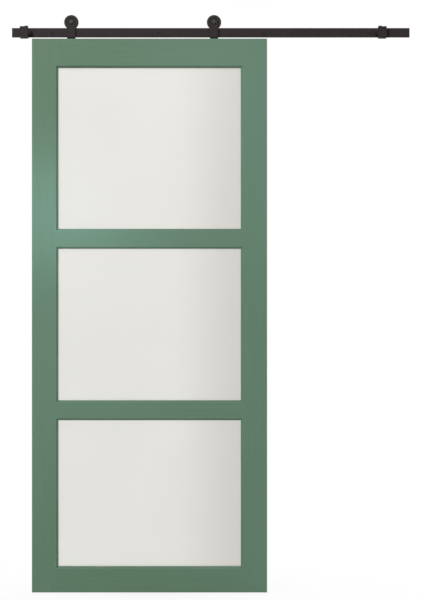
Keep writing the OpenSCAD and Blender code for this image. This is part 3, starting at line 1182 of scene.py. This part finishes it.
@dataclass(frozen=True)
class FastenerSet:
    """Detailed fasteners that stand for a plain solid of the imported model."""

    name: str
    body: str
    node: str
    finish: Finish
    sharp_deg: float = 32.0

    def build(self, fixed: Iterable[tuple[RingPile, Matrix]]) -> None:
        """Builds the fasteners as one piece in the place of the plain solid.

        Args:
            fixed: Rings of each fastener with its placement.
        """
        mesh = bmesh.new()
        for pile, place in fixed:
            pile.skin(mesh, place)
        bmesh.ops.recalc_face_normals(mesh, faces=mesh.faces)
        data = bpy.data.meshes.new(self.name)
        mesh.to_mesh(data)
        mesh.free()
        data.shade_smooth()
        data.set_sharp_from_angle(angle=math.radians(self.sharp_deg))
        data.materials.append(self.finish.material())
        piece = bpy.data.objects.new(self.name, data)
        bpy.context.scene.collection.objects.link(piece)
        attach(piece, self.body)
        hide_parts(self.node)
        LOG.info("built %s for %s", self.name, self.node)


@dataclass
class DoorLeaf:
    """Painted frame of the leaf: stiles, rails and the parts inside its joints."""

    stiles: tuple[str, ...] = ("stile_left", "stile_right")
    rails: tuple[str, ...] = ("top_rail", "mid_rail_upper", "mid_rail_lower", "bottom_rail")
    stile_easing: Easing = Easing(0.8, shortest_mm=(5.0, 30.0, 120.0))
    rail_easing: Easing = Easing(0.8, shortest_mm=LONG_EDGE_MM)

    def dress(self) -> None:
        """Paints the members along their length and finishes the hidden parts."""
        for name in self.stiles:
            dress_node(name, ENAMEL_UPRIGHT, self.stile_easing)
        for name in self.rails:
            dress_node(name, ENAMEL_LEVEL, self.rail_easing)
        dress_node("frame_dowels", BEECH)
        dress_node("setting_blocks", SETTING_PLASTIC)
        dress_node("bead_pins", ZINC_PLATE)


@dataclass
class GlazedPane:
    """One pane with its tape and the four beads that hold it from behind."""

    pane: Pane
    glass_easing: Easing = Easing(0.6)
    bead_easing: Easing = Easing(0.5, shortest_mm=LONG_EDGE_MM)

    def dress(self) -> None:
        """Finishes the glass, the tape and the beads."""
        pane = self.pane.value
        dress_node(f"glass_{pane}", ETCHED_GLASS, self.glass_easing)
        dress_node(f"glazing_tape_{pane}", FOAM_TAPE)
        for edge in ("left", "right"):
            dress_node(f"bead_{pane}_{edge}", ENAMEL_UPRIGHT, self.bead_easing)
        for edge in ("top", "bottom"):
            dress_node(f"bead_{pane}_{edge}", ENAMEL_LEVEL, self.bead_easing)


@dataclass
class FlatTrack:
    """Flat bar on spacers, held by countersunk screws."""

    fixing_xs_mm: tuple[float, ...] = (-609.6, -203.2, 203.2, 609.6)
    face_y_mm: float = -38.0
    easing: Easing = Easing(0.7)
    spacer_easing: Easing = Easing(0.5)
    screw: SunkScrew = SunkScrew(
        head_d=16.0,
        socket=6.0,
        shank_d=7.4,
        plain_l=38.0,
        thread_d=8.0,
        core_d=5.6,
        length=98.0,
        pitch=4.4,
    )

    def build(self) -> None:
        """Finishes the bar and the spacers and builds the fixing screws."""
        dress_node("track", POWDER_COAT, self.easing)
        dress_node("track_spacers", POWDER_COAT, self.spacer_easing)
        screws = FastenerSet("wall_screws_threaded", "track", "wall_screws", POWDER_COAT)
        screws.build(
            (self.screw.pile(), Facing.FRONT.place(Vector((x, self.face_y_mm, 0.0)) * MM))
            for x in self.fixing_xs_mm
        )


@dataclass
class EndStops:
    """Collars clamped on the track, each with a bolt on top and a rubber bumper."""

    collar_easing: Easing = Easing(1.0, steps=4)
    clamp_xs_mm: tuple[float, float] = (-707.5, 649.5)
    clamp_y_mm: float = -35.0
    seat_z_mm: float = 23.0
    bumper_y_mm: float = -49.3
    bumper_head_xs_mm: tuple[float, float] = (-690.0, 632.0)
    clamp_bolt: HexBolt = HexBolt(
        flats=13.0, head_h=4.0, shank_d=8.0, plain_l=0.0, thread_l=5.0
    )
    bumper_screw: PanScrew = PanScrew(
        head_d=9.0, head_h=3.0, socket=3.0, shank_d=5.0, length=23.0
    )

    def build(self) -> None:
        """Finishes collars and bumpers and builds their bolts and screws."""
        for side in Side:
            dress_node(f"stop_collar_{side.value}", POWDER_COAT, self.collar_easing)
            dress_node(f"stop_bumper_{side.value}", RUBBER)
        bolts = FastenerSet(
            "stop_bolts_chamfered", "track", "stop_clamp_bolts", BLACK_OXIDE
        )
        bolts.build(
            (
                self.clamp_bolt.pile(),
                Facing.UP.place(Vector((x, self.clamp_y_mm, self.seat_z_mm)) * MM),
            )
            for x in self.clamp_xs_mm
        )
        screws = FastenerSet("bumper_screws_domed", "track", "bumper_screws", ZINC_PLATE)
        screws.build(
            (
                self.bumper_screw.pile(),
                facing.place(Vector((x, self.bumper_y_mm, 0.0)) * MM),
            )
            for x, facing in zip(self.bumper_head_xs_mm, (Facing.RIGHT, Facing.LEFT))
        )


@dataclass
class Hangers:
    """Straps screwed to the leaf, each with a wheel on a ball bearing."""

    strap_easing: Easing = Easing(0.6)
    strap_front_mm: float = -48.5
    nut_seat_mm: float = -25.5
    foot_top_mm: float = -20.0
    foot_screw_half_pitch_mm: float = 9.0
    foot_screw_y_mm: float = -30.0
    axle_bolt: HexBolt = HexBolt(
        flats=13.0, head_h=5.3, shank_d=8.0, plain_l=21.0, thread_l=10.5
    )
    lock_nut: LockNut = LockNut(flats=13.0, height=6.5, bore_d=8.04)
    foot_screw: SunkScrew = SunkScrew(
        head_d=12.0,
        socket=4.0,
        shank_d=5.4,
        plain_l=8.0,
        thread_d=6.0,
        core_d=4.0,
        length=50.0,
        pitch=2.8,
    )

    def axle(self, side: Side) -> Vector:
        """Middle of the wheel on this side, in metres."""
        low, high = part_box(f"wheel_{side.value}")
        return (low + high) / 2.0

    def build(self) -> None:
        """Finishes straps, wheels and bearings and builds the fasteners."""
        for side in Side:
            self.dress_wheel(side)
            axle = self.axle(side)
            plain = f"axle_bolt_{side.value}"
            bolt = FastenerSet(f"{plain}_threaded", "leaf", plain, BLACK_OXIDE)
            head = Vector((axle.x, self.strap_front_mm * MM, axle.z))
            bolt.build([(self.axle_bolt.pile(), Facing.FRONT.place(head))])
        dress_node("axle_bushes", ZINC_PLATE)
        nuts = FastenerSet("lock_nuts_collared", "leaf", "lock_nuts", BLACK_OXIDE)
        nuts.build(
            (
                self.lock_nut.pile(),
                Facing.BACK.place(
                    Vector((self.axle(side).x, self.nut_seat_mm * MM, self.axle(side).z))
                ),
            )
            for side in Side
        )
        screws = FastenerSet("hanger_screws_threaded", "leaf", "hanger_screws", ZINC_PLATE)
        screws.build(
            (self.foot_screw.pile(), Facing.UP.place(at)) for at in self.foot_screw_places()
        )

    def foot_screw_places(self) -> list[Vector]:
        """Faces of the four foot screws.

        Returns:
            Points in metres, two for each hanger.
        """
        return [
            Vector(
                (
                    self.axle(side).x + hand * self.foot_screw_half_pitch_mm * MM,
                    self.foot_screw_y_mm * MM,
                    self.foot_top_mm * MM,
                )
            )
            for side in Side
            for hand in (-1, 1)
        ]

    def dress_wheel(self, side: Side) -> None:
        """Finishes the strap, the wheel and the bearing of one hanger.

        Args:
            side: Hanger to finish.
        """
        turned = TurnedNylon(
            f"turned_nylon_{side.value}", "nylon", axle=tuple(self.axle(side))
        )
        dress_node(f"hanger_strap_{side.value}", POWDER_COAT, self.strap_easing)
        dress_node(f"wheel_{side.value}", turned)
        for part in ("outer_ring", "inner_ring", "shields"):
            dress_node(f"bearing_{part}_{side.value}", BEARING_STEEL)
        dress_node(f"bearing_balls_{side.value}", BEARING_STEEL, weld=True)
        dress_node(f"bearing_cage_{side.value}", MOULDED_NYLON)


@dataclass(frozen=True)
class SoftPanel:
    """Flat lamp that lights an area evenly, in metres and watts."""

    name: str
    at: tuple[float, float, float]
    aim: tuple[float, float, float]
    size: tuple[float, float]
    power: float
    colour: str = WHITE
    spread_deg: float = 180.0
    through_glass: bool = True

    def hang(self) -> None:
        """Hangs the lamp and turns it to its aim."""
        data = bpy.data.lights.new(self.name, "AREA")
        data.shape = "RECTANGLE"
        data.size, data.size_y = self.size
        data.energy = self.power
        data.color = linear(self.colour)[:3]
        data.spread = math.radians(self.spread_deg)
        lamp = bpy.data.objects.new(self.name, data)
        bpy.context.scene.collection.objects.link(lamp)
        lamp.location = Vector(self.at)
        aim = Vector(self.aim) - lamp.location
        lamp.rotation_euler = aim.to_track_quat("-Z", "Y").to_euler()
        lamp.visible_camera = False
        lamp.visible_transmission = self.through_glass


@dataclass
class Studio:
    """White studio with soft light from the upper left and from behind, and the camera."""

    picture_px: tuple[int, int] = (423, 600)
    mm_per_px: float = 3.827
    aim_px: tuple[float, float] = (210.78, 32.28)
    subject_y_mm: float = -55.0
    camera_m: float = 10.0
    tilt_deg: float = 90.0
    sensor_mm: float = 36.0
    ambient: float = 0.205
    key: SoftPanel = SoftPanel(
        "key_panel",
        at=(-3.0, -6.6, 3.6),
        aim=(-0.2, 0.0, -0.9),
        size=(2.2, 1.7),
        power=448.0,
    )
    # Daylight from the side, narrowed so that it lies as a soft cool patch on the paint
    window: SoftPanel = SoftPanel(
        "window_panel",
        at=(-2.6, -2.8, 0.5),
        aim=(-0.55, -0.055, -0.71),
        size=(0.25, 0.25),
        power=0.31,
        colour="#d6e2ff",
        spread_deg=10.0,
    )
    # Kept off the glass, so that the panes stay even as seen from the front
    rear: SoftPanel = SoftPanel(
        "rear_panel",
        at=(1.8, 4.2, 1.6),
        aim=(-0.2, 0.0, -1.0),
        size=(2.0, 2.0),
        power=165.0,
        through_glass=False,
    )
    floor_gap_mm: float = 8.0
    floor_half_m: tuple[float, float] = (4.0, 2.6)
    floor_steps: int = 8
    floor_colours: tuple[str, str] = ("#dcdcda", "#e2e2e0")
    floor_cloud_mm: float = 400.0
    floor_glow: float = 0.86
    floor_shade_m: float = 1.3

    def build(self) -> None:
        """Sets up world, light, floor and camera."""
        bpy.context.scene.view_settings.view_transform = "Standard"
        self.light_world()
        self.key.hang()
        self.window.hang()
        self.rear.hang()
        self.lay_floor()
        self.set_camera()

    def seen_white(self, tree: bpy.types.NodeTree) -> bpy.types.NodeSocket:
        """Tells the rays that see the studio as white from those that carry light.

        Args:
            tree: Node tree of the world or of the floor.

        Returns:
            Output that is one for the eye, in gloss and through glass, and zero otherwise.
        """
        path = add_node(tree, "ShaderNodeLightPath")
        seen = add_node(
            tree,
            "ShaderNodeMath",
            {"operation": "MAXIMUM"},
            {0: path.outputs["Is Camera Ray"], 1: path.outputs["Is Glossy Ray"]},
        )
        white = add_node(
            tree,
            "ShaderNodeMath",
            {"operation": "MAXIMUM"},
            {0: seen.outputs["Value"], 1: path.outputs["Is Transmission Ray"]},
        )
        return white.outputs["Value"]

    def light_world(self) -> None:
        """White for the eye, in gloss and through glass, and a softer fill for the rest."""
        world = bpy.data.worlds.new("white_studio")
        bpy.context.scene.world = world
        world.use_nodes = True
        tree = world.node_tree
        tree.nodes.clear()
        strength = add_node(
            tree,
            "ShaderNodeMapRange",
            links={"Value": self.seen_white(tree), "To Min": self.ambient, "To Max": 1.0},
        )
        sky = add_node(
            tree,
            "ShaderNodeBackground",
            links={"Color": linear(WHITE), "Strength": strength.outputs["Result"]},
        )
        add_node(
            tree, "ShaderNodeOutputWorld", links={"Surface": sky.outputs["Background"]}
        )

    def lay_floor(self) -> None:
        """Lays the pale floor just under the leaf, where it takes a faint shadow."""
        low, _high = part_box("bottom_rail")
        z = low.z - self.floor_gap_mm * MM
        half_x, half_y = self.floor_half_m
        mesh = bmesh.new()
        bmesh.ops.create_grid(
            mesh, x_segments=self.floor_steps, y_segments=self.floor_steps, size=1.0
        )
        bmesh.ops.scale(mesh, vec=(half_x, half_y, 1.0), verts=mesh.verts)
        bmesh.ops.translate(mesh, vec=(0.0, self.subject_y_mm * MM, z), verts=mesh.verts)
        data = bpy.data.meshes.new("studio_floor")
        mesh.to_mesh(data)
        mesh.free()
        data.materials.append(self.floor_material())
        floor = bpy.data.objects.new("studio_floor", data)
        bpy.context.scene.collection.objects.link(floor)

    def floor_material(self) -> bpy.types.Material:
        """Matt white vinyl: near white to the eye, a little darker where light is kept off.

        Returns:
            Material of the floor.
        """
        made = bpy.data.materials.new("matt_white_vinyl")
        made.use_nodes = True
        tree = made.node_tree
        tree.nodes.clear()
        place = add_node(tree, "ShaderNodeTexCoord").outputs["Object"]
        cloud = add_node(
            tree,
            "ShaderNodeTexNoise",
            links={
                "Vector": place,
                "Scale": per_metre(self.floor_cloud_mm),
                "Detail": CLOUD,
            },
        )
        tint = add_node(
            tree,
            "ShaderNodeMix",
            {"data_type": "RGBA"},
            {
                MIX_FACTOR: cloud.outputs["Fac"],
                MIX_A: linear(self.floor_colours[0]),
                MIX_B: linear(self.floor_colours[1]),
            },
        )
        matt = add_node(
            tree, "ShaderNodeBsdfDiffuse", links={"Color": tint.outputs[MIX_RESULT]}
        )
        glow = add_node(tree, "ShaderNodeEmission", links={"Color": linear(WHITE)})
        low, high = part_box("bottom_rail")
        middle = (low + high) / 2.0
        near = add_node(
            tree,
            "ShaderNodeMapping",
            {"vector_type": "TEXTURE"},
            {
                "Vector": place,
                "Location": (middle.x, middle.y, low.z),
                "Scale": (self.floor_shade_m,) * 3,
            },
        )
        pool = add_node(
            tree,
            "ShaderNodeTexGradient",
            {"gradient_type": "QUADRATIC_SPHERE"},
            {"Vector": near.outputs["Vector"]},
        )
        bright = add_node(
            tree,
            "ShaderNodeMapRange",
            links={"Value": pool.outputs["Fac"], "To Min": 1.0, "To Max": self.floor_glow},
        )
        share = add_node(
            tree,
            "ShaderNodeMath",
            {"operation": "MULTIPLY"},
            {0: self.seen_white(tree), 1: bright.outputs["Result"]},
        )
        blend = add_node(
            tree,
            "ShaderNodeMixShader",
            links={
                0: share.outputs["Value"],
                1: matt.outputs["BSDF"],
                2: glow.outputs["Emission"],
            },
        )
        add_node(
            tree, "ShaderNodeOutputMaterial", links={"Surface": blend.outputs["Shader"]}
        )
        return made

    def set_camera(self) -> None:
        """Sets the camera square to the leaf, as the photograph was taken."""
        wide, high = self.picture_px
        step = self.mm_per_px * MM
        data = bpy.data.cameras.new("front_camera")
        data.sensor_width = self.sensor_mm
        data.lens = self.sensor_mm * self.camera_m / (high * step)
        camera = bpy.data.objects.new("front_camera", data)
        bpy.context.scene.collection.objects.link(camera)
        camera.location = (
            (wide / 2.0 - self.aim_px[0]) * step,
            self.subject_y_mm * MM - self.camera_m,
            (self.aim_px[1] - high / 2.0) * step,
        )
        camera.rotation_euler = (math.radians(self.tilt_deg), 0.0, 0.0)
        bpy.context.scene.camera = camera


def main() -> None:
    """Builds and dresses the door from the track down, then the studio round it."""
    logging.basicConfig(level=logging.INFO, format="%(name)s: %(message)s")
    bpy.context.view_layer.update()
    FlatTrack().build()
    EndStops().build()
    Hangers().build()
    DoorLeaf().dress()
    for pane in Pane:
        GlazedPane(pane).dress()
    Studio().build()


if __name__ == "__main__":
    main()
